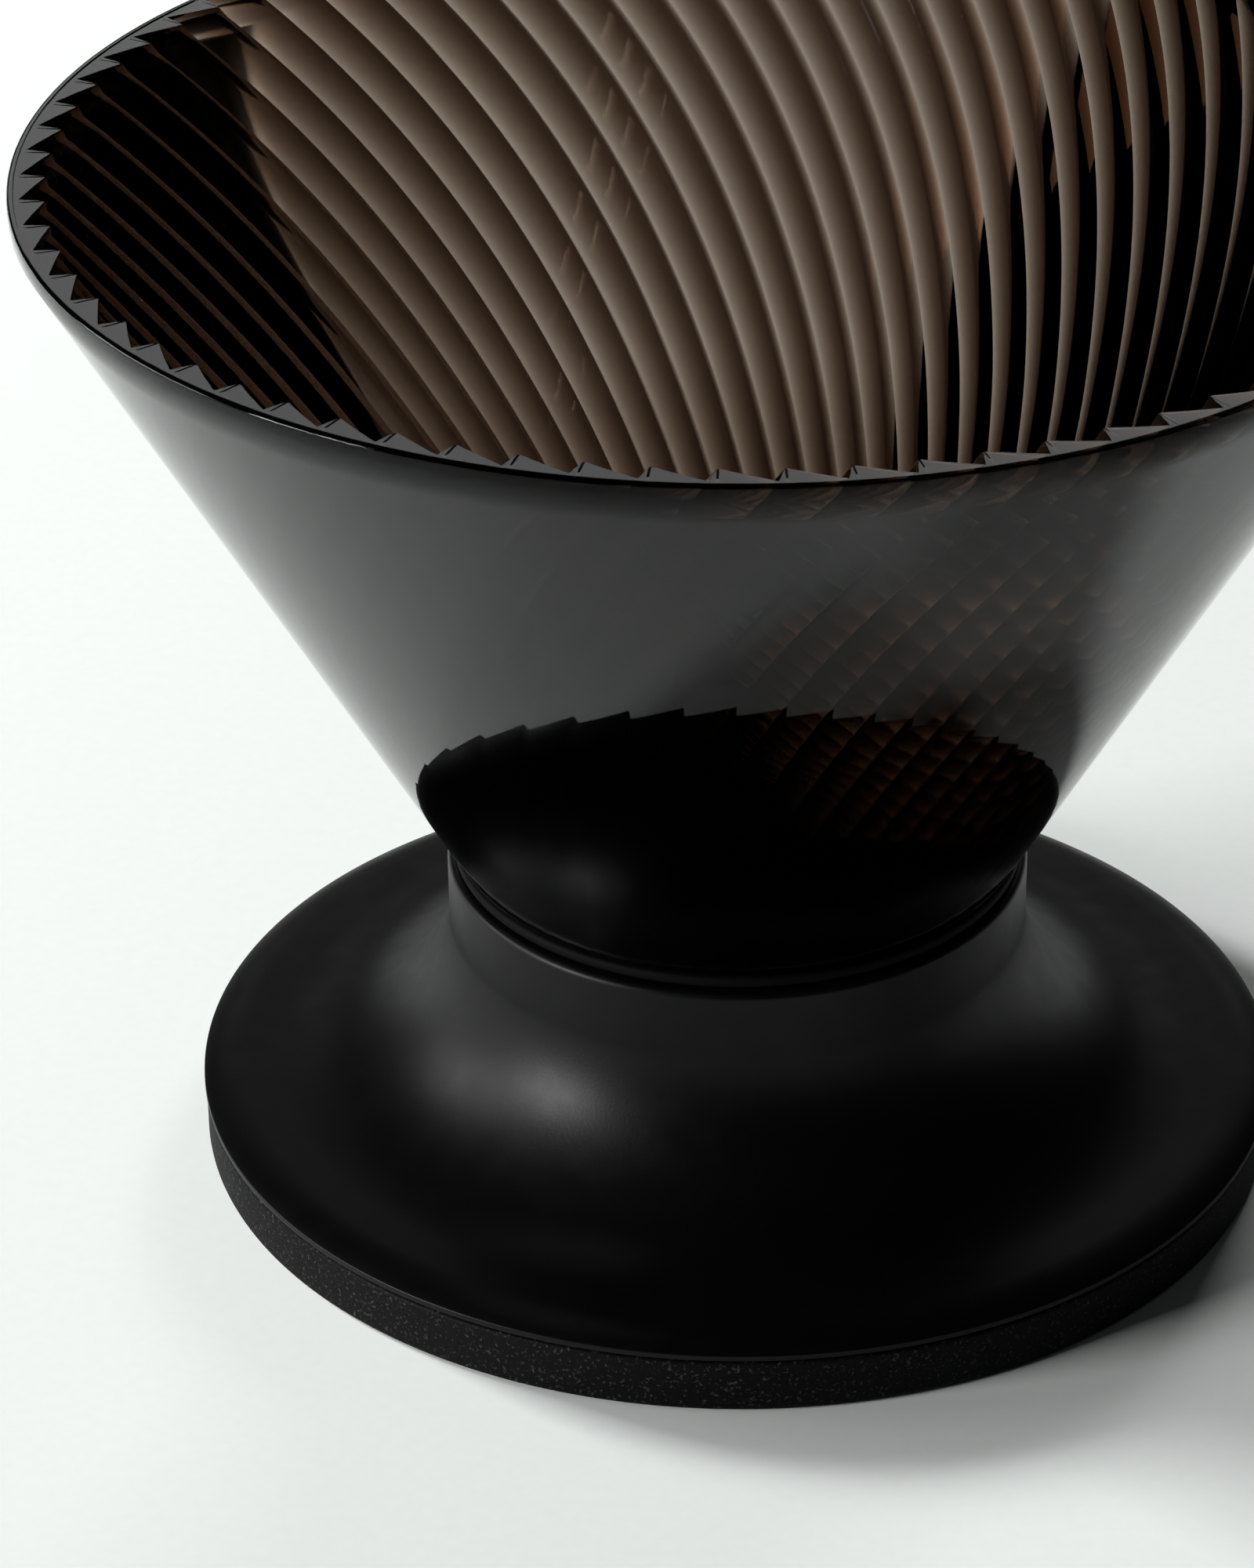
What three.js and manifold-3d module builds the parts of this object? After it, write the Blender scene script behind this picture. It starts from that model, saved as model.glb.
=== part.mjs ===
// Pour over dripper: a ribbed smoked cone that stands in a separate flared base.
// Millimetres, +Z up. Z is the axis of every piece and z = 0 is the plane that the base stands on.

import * as THREE from 'three';
import { mergeVertices } from 'three/addons/utils/BufferGeometryUtils.js';
import Module from 'manifold-3d';

// Driving dimensions of the cone.
const RIM_RADIUS = 58;
const RIM_HEIGHT = 88.8;
const RIM_BAND = 1.3;
const CONE_HALF_ANGLE = THREE.MathUtils.degToRad(29.5);
const OUTLET_HEIGHT = 7;
const OUTLET_WALL = 1.6;

// The wall behind the ribs, measured across: even from the rim down, then thicker to the neck.
const WALL = 1.1;
const NECK_WALL = 2.3;
const WALL_CHANGE_HEIGHT = 55;

// The ribs inside the cone: a saw-tooth that spirals, and turns faster towards the rim.
// They are even in depth from the rim down, and get shallower from the middle to the outlet.
const RIB_COUNT = 72;
const RIB_DEPTH = 2.1;
const RIB_DEPTH_AT_OUTLET = 0.5;
const RIB_CHANGE_HEIGHT = 45;
const RIB_TIP_SHARE = 0.108;
const RIB_PHASE = THREE.MathUtils.degToRad(3);
const TWIST_SLOW = THREE.MathUtils.degToRad(0.55);
const TWIST_GAIN = THREE.MathUtils.degToRad(2.07e-4);
const TWIST_CHANGE_HEIGHT = 48;
const RIB_LEVELS = 10;

// The neck: the cone's shoulder stands over the collar, and its skirt hangs inside the collar.
const SHOULDER_HEIGHT = 27.5;
const SKIRT_OUTER = 22.9;
const SKIRT_INNER = 21.4;
const SKIRT_BOTTOM = 14;

// Driving dimensions of the base.
const COLLAR_TOP = 25.9;
const COLLAR_OUTER = 24.65;
const COLLAR_BORE = 23.2;
const COLLAR_CREASE = 20;
const LIP_ROUND = 0.6;
const FLARE_RADIUS = 15.5;
const FLANGE_HEIGHT = 6.4;
const SHELL = 2.3;
const EDGE_RADIUS = 46.2;
const EDGE_HEIGHT = 5.5;
const EDGE_LIP = 0.5;
const ROLL_OFF = 3.5;
const EDGE_SKIRT_OUTER = 44.6;
const EDGE_SKIRT_INNER = 43;
const EDGE_SKIRT_BOTTOM = 1.2;

// The ring under the flange that centres the dripper on a mug or server.
const LOCATING_RING_OUTER = 32.4;
const LOCATING_RING_INNER = 31;
const LOCATING_RING_BOTTOM = 1;

// The silicone parts, which keep a small gap to their neighbours.
const GAP = 0.3;
const BAND_OUTER = 46.05;
const BAND_LEG_INNER = 42;
const GASKET_OUTER = 24.1;

const CONE_SEGMENTS = RIB_COUNT;
const RING_SEGMENTS = 48;
const FLARE_STEPS = 8;
const ROLL_STEPS = 3;
const QUARTER_TURN = Math.PI / 2;

const wasm = await Module();
wasm.setup();

const smokedPlastic = new THREE.MeshStandardMaterial({ color: 0x2b2723, roughness: 0.08, metalness: 0 });
const satinPlastic = new THREE.MeshStandardMaterial({ color: 0x151515, roughness: 0.45, metalness: 0 });
const mattSilicone = new THREE.MeshStandardMaterial({ color: 0x242424, roughness: 0.8, metalness: 0 });
const darkSilicone = new THREE.MeshStandardMaterial({ color: 0x0c0c0c, roughness: 0.7, metalness: 0 });

// Outside radius of the cone at a height: it reaches the rim's radius at the foot of the rim band.
function coneRadius(height) {
  const below = RIM_HEIGHT - RIM_BAND - height;
  return RIM_RADIUS - below * Math.tan(CONE_HALF_ANGLE);
}

// Radius of the notches between the ribs. It is even inside the rim band, and below the shoulder
// it goes on in at the same slope.
function notchRadius(height) {
  if (height >= WALL_CHANGE_HEIGHT) return Math.min(coneRadius(height), RIM_RADIUS) - WALL;
  const upper = coneRadius(WALL_CHANGE_HEIGHT) - WALL;
  return upper - (WALL_CHANGE_HEIGHT - height) * neckSlope();
}

// How fast the notches come in below the height where the wall starts to thicken.
function neckSlope() {
  const upper = coneRadius(WALL_CHANGE_HEIGHT) - WALL;
  const lower = coneRadius(SHOULDER_HEIGHT) - NECK_WALL;
  return (upper - lower) / (WALL_CHANGE_HEIGHT - SHOULDER_HEIGHT);
}

function ribDepth(height) {
  const share = (height - OUTLET_HEIGHT) / (RIB_CHANGE_HEIGHT - OUTLET_HEIGHT);
  return THREE.MathUtils.lerp(RIB_DEPTH_AT_OUTLET, RIB_DEPTH, THREE.MathUtils.clamp(share, 0, 1));
}

// Angle that a rib has turned by, from the rim down to a height.
function ribTwist(height) {
  const rise = (level) => Math.max(level - TWIST_CHANGE_HEIGHT, 0) ** 3 / 3;
  return TWIST_SLOW * (height - RIM_HEIGHT) + TWIST_GAIN * (rise(height) - rise(RIM_HEIGHT));
}

// Merges the vertices that share a place and drops the triangles that this leaves with no area.
function weld(geometry) {
  geometry.deleteAttribute('normal');
  geometry.deleteAttribute('uv');
  const merged = mergeVertices(geometry);
  const index = merged.getIndex().array;
  const kept = [];
  for (let i = 0; i < index.length; i += 3) {
    const [a, b, c] = [index[i], index[i + 1], index[i + 2]];
    if (a !== b && b !== c && c !== a) kept.push(a, b, c);
  }
  merged.setIndex(kept);
  return merged;
}

// Turns an outline of [radius, height] points about Z. The outline runs out along the bottom,
// up the outside and back in along the top.
function revolve(outline, segments) {
  const points = outline.map(([radius, height]) => new THREE.Vector2(radius, height));
  const geometry = new THREE.LatheGeometry(points, segments);
  geometry.rotateX(QUARTER_TURN);
  return weld(geometry);
}

// Points on an arc about a [radius, height] centre, from one angle to another, both in radians.
function arc(centre, size, from, to, steps) {
  const points = [];
  for (let step = 0; step <= steps; step += 1) {
    const angle = from + (to - from) * step / steps;
    points.push([centre[0] + size * Math.cos(angle), centre[1] + size * Math.sin(angle)]);
  }
  return points;
}

function toSolid(geometry) {
  const vertProperties = new Float32Array(geometry.getAttribute('position').array);
  const triVerts = new Uint32Array(geometry.getIndex().array);
  return new wasm.Manifold(new wasm.Mesh({ numProp: 3, vertProperties, triVerts }));
}

function toGeometry(solid) {
  const mesh = solid.getMesh();
  const geometry = new THREE.BufferGeometry();
  geometry.setAttribute('position', new THREE.BufferAttribute(mesh.vertProperties, 3));
  geometry.setIndex(new THREE.BufferAttribute(mesh.triVerts, 1));
  geometry.computeVertexNormals();
  return geometry;
}

// One level of the cone's inside: a notch and a rib tip in turn, round the axis.
function ribRing(height) {
  const notch = notchRadius(height);
  const tip = notch - ribDepth(height);
  const pitch = 2 * Math.PI / RIB_COUNT;
  const ring = [];
  for (let rib = 0; rib < RIB_COUNT; rib += 1) {
    const angle = RIB_PHASE + ribTwist(height) + rib * pitch;
    const tipAngle = angle + RIB_TIP_SHARE * pitch;
    ring.push([notch * Math.cos(angle), notch * Math.sin(angle), height]);
    ring.push([tip * Math.cos(tipAngle), tip * Math.sin(tipAngle), height]);
  }
  return ring;
}

// The space inside the cone, as one closed body that runs past the rim and the outlet.
function bowlSpace() {
  const bottom = OUTLET_HEIGHT - 1;
  const bandFoot = RIM_HEIGHT - RIM_BAND;
  const top = RIM_HEIGHT + 1;
  const points = [[0, 0, bottom]];
  for (let level = 0; level < RIB_LEVELS; level += 1) {
    points.push(...ribRing(bottom + (bandFoot - bottom) * level / (RIB_LEVELS - 1)));
  }
  points.push(...ribRing(top), [0, 0, top]);

  const around = 2 * RIB_COUNT;
  const last = points.length - 1;
  const at = (level, step) => 1 + level * around + step % around;
  const index = [];
  for (let step = 0; step < around; step += 1) {
    index.push(0, at(0, step + 1), at(0, step));
    index.push(last, at(RIB_LEVELS, step), at(RIB_LEVELS, step + 1));
    for (let level = 0; level < RIB_LEVELS; level += 1) {
      index.push(at(level, step), at(level, step + 1), at(level + 1, step + 1));
      index.push(at(level, step), at(level + 1, step + 1), at(level + 1, step));
    }
  }
  const geometry = new THREE.BufferGeometry();
  geometry.setAttribute('position', new THREE.Float32BufferAttribute(points.flat(), 3));
  geometry.setIndex(index);
  return geometry;
}

// The smoked cone, with its rim, its spiral ribs, the shoulder and skirt of its neck and its outlet.
function dripperCone() {
  const outletOuter = notchRadius(OUTLET_HEIGHT) + OUTLET_WALL;
  const pocketTop = OUTLET_HEIGHT + (SKIRT_INNER - outletOuter) / neckSlope();
  const outside = revolve([
    [0, OUTLET_HEIGHT],
    [outletOuter, OUTLET_HEIGHT],
    [SKIRT_INNER, pocketTop],
    [SKIRT_INNER, SKIRT_BOTTOM],
    [SKIRT_OUTER, SKIRT_BOTTOM],
    [SKIRT_OUTER, SHOULDER_HEIGHT],
    [coneRadius(SHOULDER_HEIGHT), SHOULDER_HEIGHT],
    [RIM_RADIUS, RIM_HEIGHT - RIM_BAND],
    [RIM_RADIUS, RIM_HEIGHT],
    [0, RIM_HEIGHT],
  ], CONE_SEGMENTS);
  return toGeometry(toSolid(outside).subtract(toSolid(bowlSpace())));
}

// The flare's arc meets the collar at its crease and lies level where it meets the flange.
function flareCentre() {
  const height = FLANGE_HEIGHT + FLARE_RADIUS;
  const reach = Math.sqrt(FLARE_RADIUS ** 2 - (height - COLLAR_CREASE) ** 2);
  return [COLLAR_OUTER + reach, height];
}

// The outside of the base from its edge to the collar's bore: the edge rolls off, the flare rises.
function baseTop() {
  const centre = flareCentre();
  const drop = FLANGE_HEIGHT - EDGE_HEIGHT;
  const rollRadius = (ROLL_OFF ** 2 + drop ** 2) / (2 * drop);
  const rollAngle = Math.asin(ROLL_OFF / rollRadius);
  const rollCentre = [EDGE_RADIUS - ROLL_OFF, FLANGE_HEIGHT - rollRadius];
  const creaseAngle = Math.PI + Math.asin((centre[1] - COLLAR_CREASE) / FLARE_RADIUS);
  const lipCentre = [COLLAR_OUTER - LIP_ROUND, COLLAR_TOP - LIP_ROUND];
  return [
    ...arc(rollCentre, rollRadius, QUARTER_TURN - rollAngle, QUARTER_TURN, ROLL_STEPS),
    ...arc(centre, FLARE_RADIUS, 3 * QUARTER_TURN, creaseAngle, FLARE_STEPS),
    ...arc(lipCentre, LIP_ROUND, 0, QUARTER_TURN, ROLL_STEPS),
    [COLLAR_BORE, COLLAR_TOP],
  ];
}

// The hollow under the base, from the collar's bore to the flat of the flange. A ring stands in it.
function baseUnderside() {
  const centre = flareCentre();
  const radius = FLARE_RADIUS + SHELL;
  const boreAngle = Math.PI + Math.acos((centre[0] - COLLAR_BORE) / radius);
  const hollow = arc(centre, radius, boreAngle, 3 * QUARTER_TURN, FLARE_STEPS);
  const heightAt = (place) => centre[1] - Math.sqrt(radius ** 2 - (centre[0] - place) ** 2);
  return [
    ...hollow.filter(([place]) => place < LOCATING_RING_INNER),
    [LOCATING_RING_INNER, heightAt(LOCATING_RING_INNER)],
    [LOCATING_RING_INNER, LOCATING_RING_BOTTOM],
    [LOCATING_RING_OUTER, LOCATING_RING_BOTTOM],
    [LOCATING_RING_OUTER, heightAt(LOCATING_RING_OUTER)],
    ...hollow.filter(([place]) => place > LOCATING_RING_OUTER),
  ];
}

// The flared base: a collar, a hollow flare under it and a thin flange with a skirt at its edge.
function baseShell() {
  const outline = [
    ...baseUnderside(),
    [EDGE_SKIRT_INNER, FLANGE_HEIGHT - SHELL],
    [EDGE_SKIRT_INNER, EDGE_SKIRT_BOTTOM],
    [EDGE_SKIRT_OUTER, EDGE_SKIRT_BOTTOM],
    [EDGE_SKIRT_OUTER, EDGE_HEIGHT - EDGE_LIP],
    [EDGE_RADIUS, EDGE_HEIGHT - EDGE_LIP],
    ...baseTop(),
  ];
  outline.push(outline[0]);
  return revolve(outline, RING_SEGMENTS);
}

// The silicone band round the base's edge, with a leg that turns in under the skirt.
function footBand() {
  const top = EDGE_HEIGHT - EDGE_LIP - GAP;
  const legTop = EDGE_SKIRT_BOTTOM - GAP;
  const inner = EDGE_SKIRT_OUTER + GAP;
  return revolve([
    [BAND_LEG_INNER, 0],
    [BAND_OUTER, 0],
    [BAND_OUTER, top],
    [inner, top],
    [inner, legTop],
    [BAND_LEG_INNER, legTop],
    [BAND_LEG_INNER, 0],
  ], RING_SEGMENTS);
}

// The silicone gasket, stretched round the top of the skirt between the shoulder and the collar.
function neckGasket() {
  const inner = SKIRT_OUTER + GAP;
  const bottom = COLLAR_TOP + GAP;
  const top = SHOULDER_HEIGHT - GAP;
  return revolve([
    [inner, bottom],
    [GASKET_OUTER, bottom],
    [GASKET_OUTER, top],
    [inner, top],
    [inner, bottom],
  ], RING_SEGMENTS);
}

function addPiece(parent, name, geometry, material) {
  const mesh = new THREE.Mesh(geometry, material);
  mesh.name = name;
  parent.add(mesh);
}

const group = new THREE.Group();
addPiece(group, 'base_shell', baseShell(), satinPlastic);
addPiece(group, 'foot_band', footBand(), mattSilicone);
addPiece(group, 'neck_gasket', neckGasket(), darkSilicone);
addPiece(group, 'dripper_cone', dripperCone(), smokedPlastic);

export default group;
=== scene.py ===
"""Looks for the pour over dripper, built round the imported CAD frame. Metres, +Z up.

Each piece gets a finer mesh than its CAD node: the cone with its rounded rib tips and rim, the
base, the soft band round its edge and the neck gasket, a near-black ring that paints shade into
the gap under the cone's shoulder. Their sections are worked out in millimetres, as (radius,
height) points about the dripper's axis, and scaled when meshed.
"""

import math

import bmesh
import bpy
from mathutils import Matrix, Vector


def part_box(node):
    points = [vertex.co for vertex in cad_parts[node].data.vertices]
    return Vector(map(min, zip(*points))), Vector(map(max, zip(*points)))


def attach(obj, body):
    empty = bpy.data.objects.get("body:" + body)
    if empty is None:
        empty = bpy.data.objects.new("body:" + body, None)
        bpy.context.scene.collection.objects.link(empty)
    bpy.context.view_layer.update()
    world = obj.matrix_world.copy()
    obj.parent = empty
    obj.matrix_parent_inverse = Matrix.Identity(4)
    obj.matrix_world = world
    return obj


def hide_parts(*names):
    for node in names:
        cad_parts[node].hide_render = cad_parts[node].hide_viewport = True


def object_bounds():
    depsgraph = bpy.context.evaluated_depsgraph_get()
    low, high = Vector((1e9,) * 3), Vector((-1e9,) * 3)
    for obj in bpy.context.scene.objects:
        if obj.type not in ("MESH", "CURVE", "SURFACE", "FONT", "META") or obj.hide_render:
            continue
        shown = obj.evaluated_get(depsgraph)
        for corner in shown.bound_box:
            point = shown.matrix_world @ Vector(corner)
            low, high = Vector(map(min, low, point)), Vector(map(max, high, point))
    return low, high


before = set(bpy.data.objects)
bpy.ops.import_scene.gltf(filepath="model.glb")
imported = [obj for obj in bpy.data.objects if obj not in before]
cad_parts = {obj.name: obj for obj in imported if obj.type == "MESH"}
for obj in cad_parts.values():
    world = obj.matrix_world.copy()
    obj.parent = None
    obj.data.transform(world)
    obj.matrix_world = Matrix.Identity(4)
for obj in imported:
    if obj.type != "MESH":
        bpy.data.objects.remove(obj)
cad_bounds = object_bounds()

MM = 0.001

# The camera. Its place is in metres, its lens and sensor in millimetres, its angles in degrees.
CAMERA_PLACE = (0.0, -0.40261, 0.261525)
CAMERA_LENS = 125.82
CAMERA_SENSOR = 36.0
CAMERA_PITCH = 29.7286
CAMERA_YAW = 1.1536
CAMERA_ROLL = 0.1508

# The cone. The wall is measured across, from the outside to the notches between the ribs.
RIM_BAND = 1.3
CONE_SLOPE = math.tan(math.radians(29.5))
WALL = 1.1
NECK_WALL = 2.3
WALL_CHANGE_HEIGHT = 55.0
OUTLET_WALL = 1.6
RIM_LIP_WIDTH = 0.5
RIM_LIP_HEIGHT = 0.1
RIM_ROUND = 0.3
TOOTH_BEVEL = 0.12

# The ribs are a saw-tooth that spirals. A share runs from one notch, at 0, to the next, at 1, and
# a tooth has points at RIB_SHARES, close together round its tip.
RIB_COUNT = 72
RIB_PITCH = 2 * math.pi / RIB_COUNT
RIB_PHASE = math.radians(3)
RIB_DEPTH = 2.1
RIB_DEPTH_AT_OUTLET = 0.5
RIB_CHANGE_HEIGHT = 45.0
RIB_TIP_SHARE = 0.108
RIB_TIP_ROUND = 0.34
RIB_SHARES = (0.0, 0.015, 0.066, 0.08, 0.092, 0.104, 0.116, 0.13, 0.15, 0.2, 0.55, 0.975)

# How fast the ribs turn, in radians for each millimetre of height. Above the change height the
# gain comes on top, times the square of the height above it.
TWIST_SLOW = math.radians(0.55)
TWIST_GAIN = math.radians(2.07e-4)
TWIST_CHANGE_HEIGHT = 48.0

# The faint sink mark that a rib leaves outside. Its width is a share of the ribs' pitch.
SINK_DEPTH = 0.012
SINK_WIDTH = 0.2

# The cone's neck: the shoulder stands over the collar, and the skirt hangs inside it.
SHOULDER_HEIGHT = 27.5
SKIRT_OUTER = 22.9
SKIRT_INNER = 21.4
SKIRT_BOTTOM = 14.0
NECK_FILLET = 0.3

# The base.
COLLAR_OUTER = 24.65
COLLAR_BORE = 23.2
COLLAR_CREASE = 20.0
FLARE_RADIUS = 15.5
FLANGE_HEIGHT = 6.4
SHELL = 2.3
EDGE_HEIGHT = 5.5
EDGE_LIP = 0.5
ROLL_OFF = 3.5
EDGE_SKIRT_OUTER = 44.6
EDGE_SKIRT_INNER = 43.0
EDGE_SKIRT_BOTTOM = 1.2
LOCATING_RING_OUTER = 32.4
LOCATING_RING_INNER = 31.0

# Fillets on the base's corners.
HARD_FILLET = 0.1
EDGE_FILLET = 0.15
SKIRT_FILLET = 0.2
CORNER_FILLET = 0.3
COLLAR_FILLET = 0.6

# The silicone parts keep a small gap to their neighbours.
GAP = 0.3
BAND_LEG_INNER = 42.0
BAND_INNER_FILLET = 0.2
BAND_FOOT_FILLET = 0.5
BAND_TOP_FILLET = 0.35
GASKET_INNER = 23.2
GASKET_INNER_FILLET = 0.15
GASKET_OUTER_FILLET = 0.4

# How finely the meshes are cut.
INSIDE_LEVELS = 60
OUTSIDE_LEVELS = 25
BASE_SEGMENTS = 240
FILLET_STEPS = 5
NECK_FILLET_STEPS = 2
FLARE_STEPS = 28
ROLL_STEPS = 8
SHARP_ANGLE = math.radians(40)

# The stage, in metres. The lights are aimed at a point on the dripper's axis.
FLOOR_REACH = 8.0
FLOOR_GAP = 0.00005
LIGHT_AIM = Vector((0, 0, 0.04))
LIGHT_DISTANCE = 2.2


def millimetres(node):
    """The lowest and highest corner of a CAD node, in millimetres."""
    low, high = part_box(node)
    return low / MM, high / MM


cone_low, cone_high = millimetres("dripper_cone")
base_low, base_high = millimetres("base_shell")
band_low, band_high = millimetres("foot_band")
gasket_low, gasket_high = millimetres("neck_gasket")

RIM_RADIUS = cone_high.x
RIM_HEIGHT = cone_high.z
OUTLET_HEIGHT = cone_low.z
EDGE_RADIUS = base_high.x
COLLAR_TOP = base_high.z


# Outlines and meshes


def arc(centre, size, start, end, steps):
    """Points on an arc about a (radius, height) centre, from one angle to another in radians."""
    angles = [start + (end - start) * step / steps for step in range(steps + 1)]
    return [(centre[0] + size * math.cos(angle), centre[1] + size * math.sin(angle)) for angle in angles]


def rounded(corners, steps=FILLET_STEPS):
    """A closed outline from corners of (radius, height, fillet). A fillet of 0 stays a corner."""
    outline = []
    for i, (radius, height, fillet) in enumerate(corners):
        place = Vector((radius, height))
        if not fillet:
            outline.append((radius, height))
            continue
        back = (Vector(corners[i - 1][:2]) - place).normalized()
        on = (Vector(corners[(i + 1) % len(corners)][:2]) - place).normalized()
        half = back.angle(on) / 2
        centre = place + (back + on).normalized() * fillet / math.sin(half)
        start = place + back * fillet / math.tan(half) - centre
        end = place + on * fillet / math.tan(half) - centre
        for step in range(steps + 1):
            outline.append(tuple(centre + fillet * start.slerp(end, step / steps)))
    return outline


def ring_mesh(name, rings):
    """A closed smooth piece. Each ring of points joins the next, and the last joins the first."""
    around = len(rings[0])
    points = [Vector(point) * MM for ring in rings for point in ring]
    faces = []
    for level in range(len(rings)):
        here = level * around
        there = (level + 1) % len(rings) * around
        for step in range(around):
            after = (step + 1) % around
            faces.append((here + step, here + after, there + after, there + step))
    mesh = bpy.data.meshes.new(name)
    mesh.from_pydata(points, [], faces)
    turned = bmesh.new()
    turned.from_mesh(mesh)
    bmesh.ops.recalc_face_normals(turned, faces=turned.faces)
    turned.to_mesh(mesh)
    turned.free()
    mesh.polygons.foreach_set("use_smooth", [True] * len(mesh.polygons))
    mesh.set_sharp_from_angle(angle=SHARP_ANGLE)
    piece = bpy.data.objects.new(name, mesh)
    bpy.context.scene.collection.objects.link(piece)
    return piece


def revolve(name, outline):
    """A piece made by turning a closed outline of (radius, height) points about the axis."""
    turns = [2 * math.pi * step / BASE_SEGMENTS for step in range(BASE_SEGMENTS)]
    rings = []
    for radius, height in outline:
        rings.append([(radius * math.cos(turn), radius * math.sin(turn), height) for turn in turns])
    return ring_mesh(name, rings)


def place_piece(piece, body, node, material):
    """Gives a piece its material, hides the CAD node that it stands for, and hangs it on the body that
    it rides on.
    """
    piece.data.materials.append(material)
    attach(piece, body)
    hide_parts(node)


# The cone


def cone_radius(height):
    """Outside radius of the cone. It reaches the rim's radius at the foot of the rim band."""
    return min(RIM_RADIUS, RIM_RADIUS - (RIM_HEIGHT - RIM_BAND - height) * CONE_SLOPE)


def neck_slope():
    """How fast the notches come in below the height where the wall starts to thicken."""
    upper = cone_radius(WALL_CHANGE_HEIGHT) - WALL
    lower = cone_radius(SHOULDER_HEIGHT) - NECK_WALL
    return (upper - lower) / (WALL_CHANGE_HEIGHT - SHOULDER_HEIGHT)


def notch_radius(height):
    """Radius of the notches between the ribs."""
    if height >= WALL_CHANGE_HEIGHT:
        return cone_radius(height) - WALL
    upper = cone_radius(WALL_CHANGE_HEIGHT) - WALL
    return upper - (WALL_CHANGE_HEIGHT - height) * neck_slope()


def rib_depth(height):
    """How far the rib tips stand in from the notches, before they are rounded."""
    share = (height - OUTLET_HEIGHT) / (RIB_CHANGE_HEIGHT - OUTLET_HEIGHT)
    return RIB_DEPTH_AT_OUTLET + (RIB_DEPTH - RIB_DEPTH_AT_OUTLET) * min(share, 1)


def rib_twist(height):
    """Angle that a rib has turned by, from the rim down to a height."""
    def rise(level):
        return max(level - TWIST_CHANGE_HEIGHT, 0) ** 3 / 3

    return TWIST_SLOW * (height - RIM_HEIGHT) + TWIST_GAIN * (rise(height) - rise(RIM_HEIGHT))


def rib_profile(share):
    """Height of the saw-tooth, from 0 at its notch to nearly 1 at its rounded tip."""
    steep = share / RIB_TIP_SHARE
    flat = (1 - share) / (1 - RIB_TIP_SHARE)
    blend = max(RIB_TIP_ROUND - abs(steep - flat), 0) / RIB_TIP_ROUND
    return min(steep, flat) - blend * blend * RIB_TIP_ROUND / 4


def sink_profile(share):
    """Depth, from 0 to 1, of the faint sink mark that each rib leaves on the outside."""
    away = min(abs(share - RIB_TIP_SHARE), 1 - abs(share - RIB_TIP_SHARE))
    return math.exp(-((away / SINK_WIDTH) ** 2))


def cone_ring(radius, height, relief=0.0, profile=rib_profile):
    """A ring of points at a radius, set in by relief times the profile, along the spiral ribs."""
    ring = []
    for rib in range(RIB_COUNT):
        for share in RIB_SHARES:
            angle = RIB_PHASE + rib_twist(height) + (rib + share) * RIB_PITCH
            reach = radius - relief * profile(share)
            ring.append((reach * math.cos(angle), reach * math.sin(angle), height))
    return ring


def levels(bottom, top, count):
    """Heights from bottom to top, evenly spaced."""
    return [bottom + (top - bottom) * step / count for step in range(count + 1)]


def dripper_cone():
    """The smoked cone: ribs inside, rim, smooth outside, shoulder, skirt and outlet."""
    tooth_top = RIM_HEIGHT - RIM_LIP_HEIGHT
    band_foot = RIM_HEIGHT - RIM_BAND
    outlet_outer = notch_radius(OUTLET_HEIGHT) + OUTLET_WALL
    pocket_top = OUTLET_HEIGHT + (SKIRT_INNER - outlet_outer) / neck_slope()

    inside = levels(OUTLET_HEIGHT, band_foot, INSIDE_LEVELS) + [tooth_top - TOOTH_BEVEL]
    rings = [cone_ring(notch_radius(height), height, rib_depth(height)) for height in inside]
    rings.append(cone_ring(notch_radius(tooth_top) + TOOTH_BEVEL, tooth_top, RIB_DEPTH))

    lip = [
        (RIM_RADIUS - RIM_LIP_WIDTH - RIM_LIP_HEIGHT / 2, tooth_top),
        (RIM_RADIUS - RIM_LIP_WIDTH, RIM_HEIGHT),
    ]
    lip += arc((RIM_RADIUS - RIM_ROUND, RIM_HEIGHT - RIM_ROUND), RIM_ROUND, math.pi / 2, 0, FILLET_STEPS)
    rings += [cone_ring(radius, height) for radius, height in lip]

    for height in reversed(levels(SHOULDER_HEIGHT + NECK_FILLET, band_foot, OUTSIDE_LEVELS)):
        rings.append(cone_ring(cone_radius(height), height, SINK_DEPTH, sink_profile))

    # The last two corners only point the way for the fillets beside them, and aren't kept.
    neck = rounded([
        (cone_radius(SHOULDER_HEIGHT), SHOULDER_HEIGHT, NECK_FILLET),
        (SKIRT_OUTER, SHOULDER_HEIGHT, NECK_FILLET),
        (SKIRT_OUTER, SKIRT_BOTTOM, NECK_FILLET),
        (SKIRT_INNER, SKIRT_BOTTOM, NECK_FILLET),
        (SKIRT_INNER, pocket_top, 0),
        (outlet_outer, OUTLET_HEIGHT, NECK_FILLET),
        (notch_radius(OUTLET_HEIGHT), OUTLET_HEIGHT, 0),
        (cone_radius(RIM_HEIGHT), RIM_HEIGHT, 0),
    ], NECK_FILLET_STEPS)
    rings += [cone_ring(radius, height) for radius, height in neck[:-2]]
    return ring_mesh("cone", rings)


# The base and the silicone parts


def flare_centre():
    """The flare's arc meets the collar at its crease and lies level where it meets the flange."""
    height = FLANGE_HEIGHT + FLARE_RADIUS
    reach = math.sqrt(FLARE_RADIUS**2 - (height - COLLAR_CREASE) ** 2)
    return COLLAR_OUTER + reach, height


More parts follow.
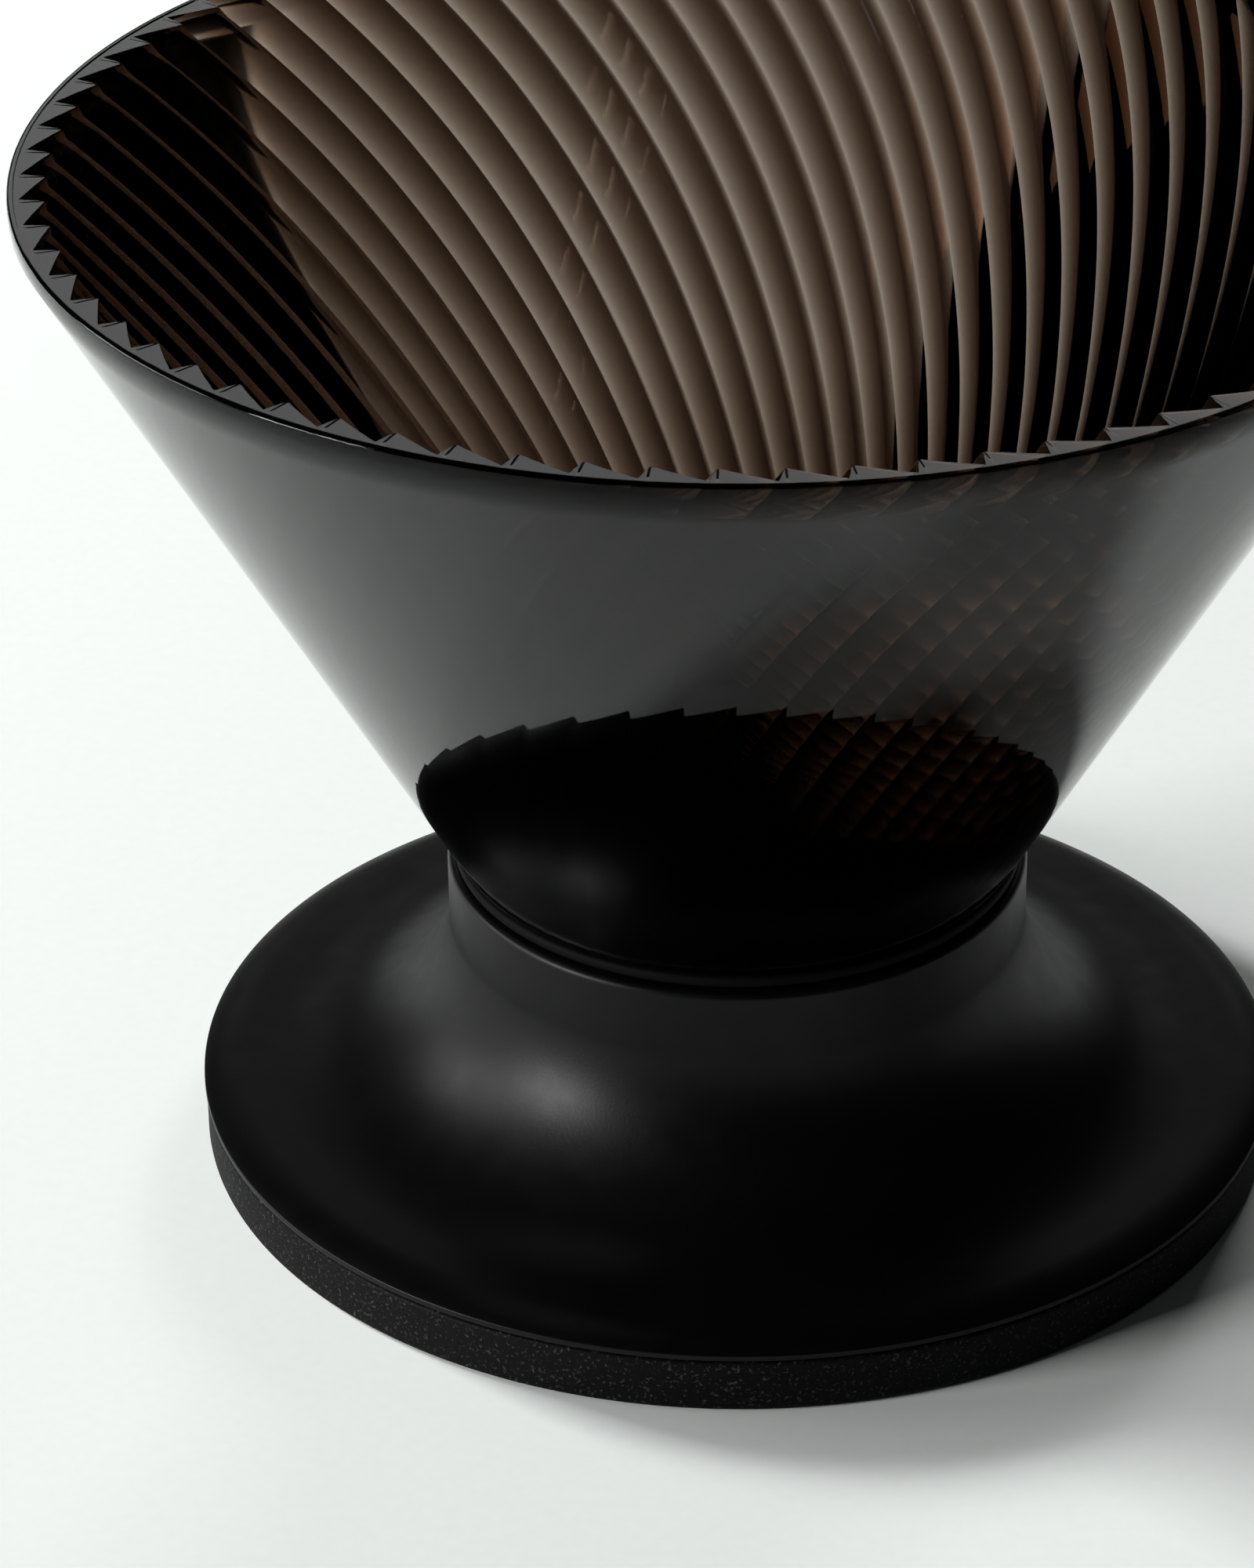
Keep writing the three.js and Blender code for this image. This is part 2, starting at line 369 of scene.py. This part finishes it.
def base_outline():
    """Section of the base: hollow underneath, skirt and edge, then its top face and collar."""
    centre = flare_centre()
    hollow_size = FLARE_RADIUS + SHELL
    bore_angle = math.pi + math.acos((centre[0] - COLLAR_BORE) / hollow_size)
    hollow = arc(centre, hollow_size, bore_angle, 1.5 * math.pi, FLARE_STEPS)
    crease_angle = math.pi + math.asin((centre[1] - COLLAR_CREASE) / FLARE_RADIUS)
    flare = arc(centre, FLARE_RADIUS, 1.5 * math.pi, crease_angle, FLARE_STEPS)

    drop = FLANGE_HEIGHT - EDGE_HEIGHT
    roll_size = (ROLL_OFF**2 + drop**2) / (2 * drop)
    roll_centre = (EDGE_RADIUS - ROLL_OFF, FLANGE_HEIGHT - roll_size)
    roll_angle = math.asin(ROLL_OFF / roll_size)
    roll = arc(roll_centre, roll_size, math.pi / 2 - roll_angle, math.pi / 2, ROLL_STEPS)

    def hollow_height(radius):
        return centre[1] - math.sqrt(hollow_size**2 - (centre[0] - radius) ** 2)

    ring_bottom = base_low.z
    return rounded(
        [(radius, height, 0) for radius, height in hollow if radius < LOCATING_RING_INNER]
        + [
            (LOCATING_RING_INNER, hollow_height(LOCATING_RING_INNER), 0),
            (LOCATING_RING_INNER, ring_bottom, CORNER_FILLET),
            (LOCATING_RING_OUTER, ring_bottom, CORNER_FILLET),
            (LOCATING_RING_OUTER, hollow_height(LOCATING_RING_OUTER), 0),
        ]
        + [(radius, height, 0) for radius, height in hollow if radius > LOCATING_RING_OUTER]
        + [
            (EDGE_SKIRT_INNER, FLANGE_HEIGHT - SHELL, CORNER_FILLET),
            (EDGE_SKIRT_INNER, EDGE_SKIRT_BOTTOM, SKIRT_FILLET),
            (EDGE_SKIRT_OUTER, EDGE_SKIRT_BOTTOM, SKIRT_FILLET),
            (EDGE_SKIRT_OUTER, EDGE_HEIGHT - EDGE_LIP, 0),
            (EDGE_RADIUS, EDGE_HEIGHT - EDGE_LIP, HARD_FILLET),
            (*roll[0], EDGE_FILLET),
        ]
        + [(radius, height, 0) for radius, height in roll[1:] + flare[:-1]]
        + [
            (COLLAR_OUTER, COLLAR_CREASE, 0),
            (COLLAR_OUTER, COLLAR_TOP, COLLAR_FILLET),
            (COLLAR_BORE, COLLAR_TOP, CORNER_FILLET),
        ]
    )


def band_outline():
    """Section of the foot band, with the leg that turns in under the skirt."""
    inner = EDGE_SKIRT_OUTER + GAP
    leg_top = EDGE_SKIRT_BOTTOM - GAP
    outer = band_high.x
    return rounded([
        (BAND_LEG_INNER, band_low.z, BAND_INNER_FILLET),
        (outer, band_low.z, BAND_FOOT_FILLET),
        (outer, band_high.z, BAND_TOP_FILLET),
        (inner, band_high.z, 0),
        (inner, leg_top, BAND_INNER_FILLET),
        (BAND_LEG_INNER, leg_top, BAND_INNER_FILLET),
    ])


def gasket_outline():
    """Section of the gasket between the cone's shoulder and the collar, a dark ring set where the gap
    between them is in shade.
    """
    outer = gasket_high.x
    return rounded([
        (GASKET_INNER, gasket_low.z, GASKET_INNER_FILLET),
        (outer, gasket_low.z, GASKET_OUTER_FILLET),
        (outer, gasket_high.z, GASKET_OUTER_FILLET),
        (GASKET_INNER, gasket_high.z, GASKET_INNER_FILLET),
    ])


# Materials


class Shader:
    """A material's node tree, with short ways to add the nodes that the materials share."""

    def __init__(self, name):
        self.material = bpy.data.materials.new(name)
        self.material.use_nodes = True
        self.nodes = self.material.node_tree.nodes
        self.links = self.material.node_tree.links
        self.surface = self.nodes["Principled BSDF"]
        self.place = self.nodes.new("ShaderNodeTexCoord").outputs["Object"]

    def set(self, **values):
        """Sets constants on the Principled node, named as its sockets with _ for spaces."""
        for name, value in values.items():
            self.surface.inputs[name.replace("_", " ")].default_value = value

    def noise(self, size, detail):
        """A noise from 0 to 1 whose features are about size metres."""
        noise = self.nodes.new("ShaderNodeTexNoise")
        noise.inputs["Scale"].default_value = 1 / size
        noise.inputs["Detail"].default_value = detail
        self.links.new(self.place, noise.inputs["Vector"])
        return noise.outputs["Fac"]

    def spread(self, value, low, high, to_low, to_high):
        """Maps a value from low..high to to_low..to_high, and holds it there."""
        node = self.nodes.new("ShaderNodeMapRange")
        sockets = ("From Min", "From Max", "To Min", "To Max")
        for socket, number in zip(sockets, (low, high, to_low, to_high)):
            node.inputs[socket].default_value = number
        self.links.new(value, node.inputs["Value"])
        return node.outputs["Result"]

    def tint(self, value, dark, light):
        """A colour between dark and light. The mix's colour sockets share names, so go by number."""
        mix = self.nodes.new("ShaderNodeMix")
        mix.data_type = "RGBA"
        mix.inputs[6].default_value = (*dark, 1)
        mix.inputs[7].default_value = (*light, 1)
        self.links.new(value, mix.inputs["Factor"])
        return mix.outputs[2]

    def feed(self, name, value):
        """Feeds a value into one of the Principled node's sockets."""
        self.links.new(value, self.surface.inputs[name])

    def bump(self, height, depth):
        """Adds a bump of the given depth in metres over any bump that is already there."""
        node = self.nodes.new("ShaderNodeBump")
        node.inputs["Distance"].default_value = depth
        self.links.new(height, node.inputs["Height"])
        normal = self.surface.inputs["Normal"]
        if normal.is_linked:
            self.links.new(normal.links[0].from_socket, node.inputs["Normal"])
        self.links.new(node.outputs["Normal"], normal)


def smoked_plastic():
    """Clear plastic with a warm smoke tint through its depth, polished, with a faint haze."""
    shader = Shader("smoked_plastic")
    shader.set(Base_Color=(1, 1, 1, 1), Transmission_Weight=1.0, IOR=1.57)
    shader.set(Specular_Tint=(0.2, 0.2, 0.2, 1))
    haze = shader.noise(4 * MM, 4)
    shader.feed("Roughness", shader.spread(haze, 0.35, 0.75, 0.01, 0.03))
    tint = shader.nodes.new("ShaderNodeVolumeAbsorption")
    tint.inputs["Color"].default_value = (0.235, 0.11, 0.01, 1)
    tint.inputs["Density"].default_value = 1640
    shader.links.new(tint.outputs["Volume"], shader.nodes["Material Output"].inputs["Volume"])
    return shader.material


def base_plastic():
    """Black satin plastic with the fine grain of a spark-eroded mould."""
    shader = Shader("base_plastic")
    shader.set(Base_Color=(0.0008, 0.0008, 0.0008, 1), IOR=1.5, Specular_IOR_Level=0.16)
    shader.feed("Roughness", shader.spread(shader.noise(3 * MM, 5), 0.3, 0.7, 0.36, 0.42))
    shader.bump(shader.noise(0.25 * MM, 2), 0.006 * MM)
    return shader.material


def band_silicone():
    """Matt dark silicone, finely speckled: dust, and painted glints where the mould grain would catch
    the light.
    """
    shader = Shader("band_silicone")
    shader.set(Roughness=0.62, IOR=1.42, Specular_IOR_Level=0.12)
    # Light flecks painted into the colour: partly dust, partly painted glints of the mould grain.
    dust_and_glint_speckle = shader.spread(shader.noise(0.3 * MM, 3), 0.58, 0.7, 0, 1)
    shader.feed("Base Color", shader.tint(dust_and_glint_speckle, (0.001, 0.001, 0.001), (0.03, 0.032, 0.03)))
    shader.bump(shader.noise(0.3 * MM, 3), 0.03 * MM)
    return shader.material


def gasket_silicone():
    """Dark matt silicone, its near-black colour painted shade for the shadow gap between the cone's
    shoulder and the collar.
    """
    shader = Shader("gasket_silicone")
    shader.set(Base_Color=(0.001, 0.001, 0.001, 1), Roughness=0.7, IOR=1.42, Specular_IOR_Level=0.1)
    shader.bump(shader.noise(0.3 * MM, 2), 0.01 * MM)
    return shader.material


def floor_material():
    """Plain pale table top with a very faint grain."""
    shader = Shader("pale_floor")
    shader.set(Roughness=0.8)
    grain = shader.noise(1.2 * MM, 4)
    shader.feed("Base Color", shader.tint(grain, (0.84, 0.87, 0.85), (0.88, 0.91, 0.89)))
    return shader.material


# Camera, floor and lights


def add_camera():
    """The camera, turned down, then to the left, then about its own line of sight."""
    data = bpy.data.cameras.new("camera")
    data.sensor_width = CAMERA_SENSOR
    data.lens = CAMERA_LENS
    camera = bpy.data.objects.new("camera", data)
    bpy.context.scene.collection.objects.link(camera)
    turn = (
        Matrix.Rotation(math.radians(90 - CAMERA_PITCH), 4, "X")
        @ Matrix.Rotation(math.radians(CAMERA_YAW), 4, "Y")
        @ Matrix.Rotation(math.radians(CAMERA_ROLL), 4, "Z")
    )
    camera.matrix_world = Matrix.Translation(CAMERA_PLACE) @ turn
    bpy.context.scene.camera = camera


def add_floor(height):
    """A wide flat table top under the dripper."""
    reach = FLOOR_REACH
    corners = [(-reach, -reach), (reach, -reach), (reach, reach), (-reach, reach)]
    mesh = bpy.data.meshes.new("floor")
    mesh.from_pydata([(x, y, height) for x, y in corners], [], [(0, 1, 2, 3)])
    mesh.materials.append(floor_material())
    floor = bpy.data.objects.new("floor", mesh)
    bpy.context.scene.collection.objects.link(floor)


def add_softbox(name, azimuth, elevation, size, power, mirrored=True):
    """An oblong softbox aimed at the dripper, its size in metres and its power in watts.

    Azimuth 0 is at +X and 90 at +Y. A softbox that isn't mirrored lights matt surfaces only, so it
    leaves no glint.
    """
    data = bpy.data.lights.new(name, "AREA")
    data.shape = "RECTANGLE"
    data.size, data.size_y = size
    data.energy = power
    light = bpy.data.objects.new(name, data)
    bpy.context.scene.collection.objects.link(light)
    turn = math.radians(azimuth)
    rise = math.radians(elevation)
    way = Vector((math.cos(rise) * math.cos(turn), math.cos(rise) * math.sin(turn), math.sin(rise)))
    light.location = LIGHT_AIM + way * LIGHT_DISTANCE
    light.rotation_mode = "QUATERNION"
    light.rotation_quaternion = way.to_track_quat("Z", "Y")
    light.visible_camera = False
    light.visible_glossy = mirrored
    light.visible_transmission = mirrored


def add_lights():
    """Low softboxes from the left and the back, a card for the rim, and a dim even world."""
    world = bpy.data.worlds.new("studio")
    world.use_nodes = True
    background = world.node_tree.nodes["Background"]
    background.inputs["Color"].default_value = (0.95, 1.0, 0.98, 1)
    background.inputs["Strength"].default_value = 0.02
    bpy.context.scene.world = world
    add_softbox("key", 204, 15, (0.8, 0.64), 46)
    add_softbox("sheen", 170, 17, (1.2, 0.8), 18)
    add_softbox("window", 148, 18, (0.56, 0.48), 79, mirrored=False)
    add_softbox("floor_fill", 75, 18, (0.6, 0.5), 16, mirrored=False)
    add_softbox("rim_card", 90, 24, (1.9, 0.36), 2.0)


add_camera()
add_floor(cad_bounds[0].z - FLOOR_GAP)
add_lights()
bpy.context.scene.view_settings.view_transform = "Standard"

cone = dripper_cone()
base = revolve("base", base_outline())
band = revolve("band", band_outline())
gasket = revolve("gasket", gasket_outline())
place_piece(cone, "cone", "dripper_cone", smoked_plastic())
place_piece(base, "base", "base_shell", base_plastic())
place_piece(band, "base", "foot_band", band_silicone())
# The gasket's near-black colour is painted shade for the gap under the cone's shoulder.
place_piece(gasket, "gasket", "neck_gasket", gasket_silicone())
